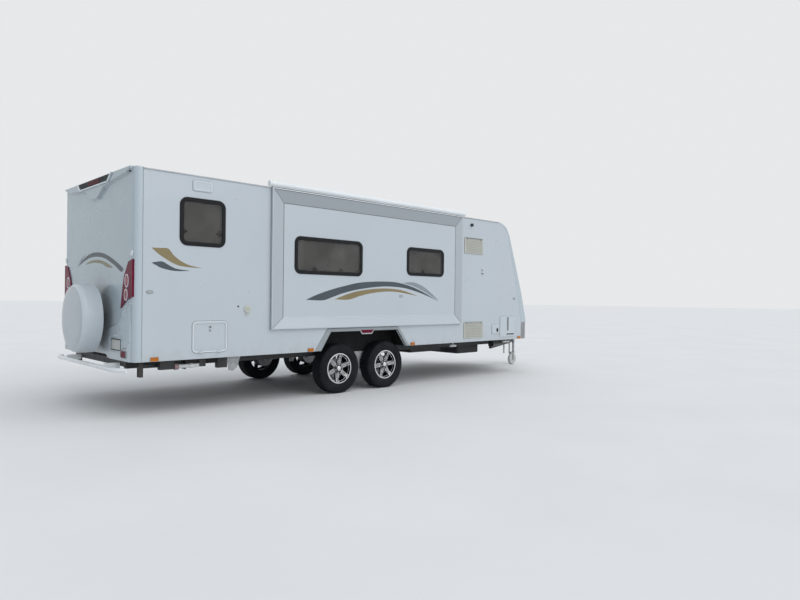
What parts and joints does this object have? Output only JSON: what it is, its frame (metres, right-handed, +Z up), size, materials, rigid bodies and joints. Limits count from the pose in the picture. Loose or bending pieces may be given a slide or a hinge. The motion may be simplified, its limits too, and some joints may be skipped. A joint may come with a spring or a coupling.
{
  "type": "travel caravan",
  "caption": "Touring caravan with close-coupled axles, a slide-out room, an entry door, a drawbar with coupling and jockey wheel, and corner steadies.",
  "frame": {"origin": "on the ground under the middle of the whole length", "axes": "+X forward to the coupling, +Y to the left, the entry door's side, +Z up"},
  "size_m": [9.428, 2.66, 3.05],
  "materials": {
    "white_gelcoat": "gloss white gelcoat",
    "white_sheet": "gloss white painted sheet",
    "inner_liner": "light grey wall lining",
    "galvanised": "dull galvanised steel",
    "black_steel": "satin black paint",
    "alloy": "machined alloy",
    "checker_plate": "chequered aluminium plate",
    "tyre": "black tyre rubber",
    "black_frame": "black moulded frame",
    "tinted_pane": "tinted acrylic",
    "grey_trim": "grey moulded trim",
    "white_plastic": "white moulded plastic",
    "cream_plastic": "cream moulded vents and covers",
    "red_lens": "dark red lens",
    "amber_lens": "amber lens",
    "dark_gloss": "dark gloss panel",
    "grey_plastic": "dark grey tank plastic",
    "white_paint": "white painted tube",
    "gas_grey": "light grey painted cylinder",
    "white_tyre": "white solid rubber wheel"
  },
  "bodies": {
    "root": {"chassis_frame": "black_steel", "drawbar": "black_steel", "coupling": "black_steel", "safety_chains": "galvanised", "gas_bottles": "gas_grey", "floor_panel": "inner_liner", "side_wall_right": "white_sheet", "side_wall_left": "white_sheet", "rear_moulding": "white_gelcoat", "front_moulding": "white_gelcoat", "stone_guard": "checker_plate", "roof_panel": "white_sheet", "roof_cooler": "white_plastic", "wheel_boxes": "black_steel", "arch_trims": "grey_trim", "window_frames": "black_frame", "window_panes": "tinted_pane", "slideout_runners": "inner_liner", "door_surround": "white_plastic", "suspension": "galvanised", "spare_carrier": "black_steel", "spare_tyre": "tyre", "spare_cover": "white_gelcoat", "bumper": "white_paint", "red_lamps": "red_lens", "amber_lamps": "amber_lens", "wall_covers": "cream_plastic", "rear_top_panel": "dark_gloss", "awning": "white_plastic", "water_tanks": "grey_plastic", "jockey_tube": "galvanised", "floor_brackets": "galvanised"},
    "wheel_rear_right": {"tyre_rear_right": "tyre", "rim_rear_right": "alloy"},
    "wheel_rear_left": {"tyre_rear_left": "tyre", "rim_rear_left": "alloy"},
    "wheel_front_right": {"tyre_front_right": "tyre", "rim_front_right": "alloy"},
    "wheel_front_left": {"tyre_front_left": "tyre", "rim_front_left": "alloy"},
    "slideout": {"slideout_box": "white_sheet", "slideout_face": "white_sheet", "slideout_window_frames": "black_frame", "slideout_window_panes": "tinted_pane", "slideout_topper": "white_plastic"},
    "entry_door": {"door_panel": "white_sheet", "door_pane": "tinted_pane"},
    "hatch_right": {"hatch_door_right": "white_sheet"},
    "hatch_left": {"hatch_door_left": "white_sheet"},
    "step": {"entry_step": "black_steel"},
    "steady_leg_rear_right": {"steady_rear_right": "black_steel"},
    "steady_leg_rear_left": {"steady_rear_left": "black_steel"},
    "steady_leg_front_right": {"steady_front_right": "black_steel"},
    "steady_leg_front_left": {"steady_front_left": "black_steel"},
    "jockey_leg": {"jockey_stem": "galvanised"},
    "jockey_castor": {"jockey_fork": "galvanised"},
    "jockey_roller": {"jockey_wheel": "white_tyre"},
    "roof_lid_rear": {"roof_hatch_rear": "white_plastic"},
    "roof_lid_front": {"roof_hatch_front": "white_plastic"}
  },
  "joints": [
    {"name": "rear_right_wheel_spin", "type": "hinge", "parent": "root", "child": "wheel_rear_right", "pos_m": [-1.344, 0, 0.365], "axis": [0, 1, 0], "continuous": true},
    {"name": "rear_left_wheel_spin", "type": "hinge", "parent": "root", "child": "wheel_rear_left", "pos_m": [-1.344, 0, 0.365], "axis": [0, 1, 0], "continuous": true},
    {"name": "front_right_wheel_spin", "type": "hinge", "parent": "root", "child": "wheel_front_right", "pos_m": [-0.426, 0, 0.365], "axis": [0, 1, 0], "continuous": true},
    {"name": "front_left_wheel_spin", "type": "hinge", "parent": "root", "child": "wheel_front_left", "pos_m": [-0.426, 0, 0.365], "axis": [0, 1, 0], "continuous": true},
    {"name": "slideout_travel", "type": "slide", "parent": "root", "child": "slideout", "axis": [0, -1, 0], "range_m": [0, 0.55]},
    {"name": "door_swing", "type": "hinge", "parent": "root", "child": "entry_door", "pos_m": [0.704, 1.258, 1.58], "axis": [0, 0, -1], "range_deg": [0, 170]},
    {"name": "hatch_right_swing", "type": "hinge", "parent": "root", "child": "hatch_right", "pos_m": [-3.446, -1.258, 0.72], "axis": [1, 0, 0], "range_deg": [0, 170]},
    {"name": "hatch_left_swing", "type": "hinge", "parent": "root", "child": "hatch_left", "pos_m": [-3.446, 1.258, 0.72], "axis": [-1, 0, 0], "range_deg": [0, 170]},
    {"name": "step_slide", "type": "slide", "parent": "root", "child": "step", "axis": [0, 1, 0], "range_m": [0, 0.24]},
    {"name": "steady_rear_right_fold", "type": "hinge", "parent": "root", "child": "steady_leg_rear_right", "pos_m": [-4.221, -1.07, 0.578], "axis": [0, 1, 0], "range_deg": [0, 82]},
    {"name": "steady_rear_left_fold", "type": "hinge", "parent": "root", "child": "steady_leg_rear_left", "pos_m": [-4.221, 1.07, 0.578], "axis": [0, 1, 0], "range_deg": [0, 82]},
    {"name": "steady_front_right_fold", "type": "hinge", "parent": "root", "child": "steady_leg_front_right", "pos_m": [2.914, -1.07, 0.578], "axis": [0, -1, 0], "range_deg": [0, 82]},
    {"name": "steady_front_left_fold", "type": "hinge", "parent": "root", "child": "steady_leg_front_left", "pos_m": [2.914, 1.07, 0.578], "axis": [0, -1, 0], "range_deg": [0, 82]},
    {"name": "jockey_wind", "type": "slide", "parent": "root", "child": "jockey_leg", "axis": [0, 0, 1], "range_m": [0, 0.14]},
    {"name": "jockey_swivel", "type": "hinge", "parent": "jockey_leg", "child": "jockey_castor", "pos_m": [4.194, -0.3, 0.26], "axis": [0, 0, 1], "continuous": true},
    {"name": "jockey_spin", "type": "hinge", "parent": "jockey_castor", "child": "jockey_roller", "pos_m": [4.149, -0.3, 0.12], "axis": [0, 1, 0], "continuous": true},
    {"name": "roof_lid_rear_lift", "type": "hinge", "parent": "root", "child": "roof_lid_rear", "pos_m": [-2.636, 0, 2.8603], "axis": [0, 1, 0], "range_deg": [0, 60]},
    {"name": "roof_lid_front_lift", "type": "hinge", "parent": "root", "child": "roof_lid_front", "pos_m": [1.764, 0, 2.8603], "axis": [0, 1, 0], "range_deg": [0, 60]}
  ]
}
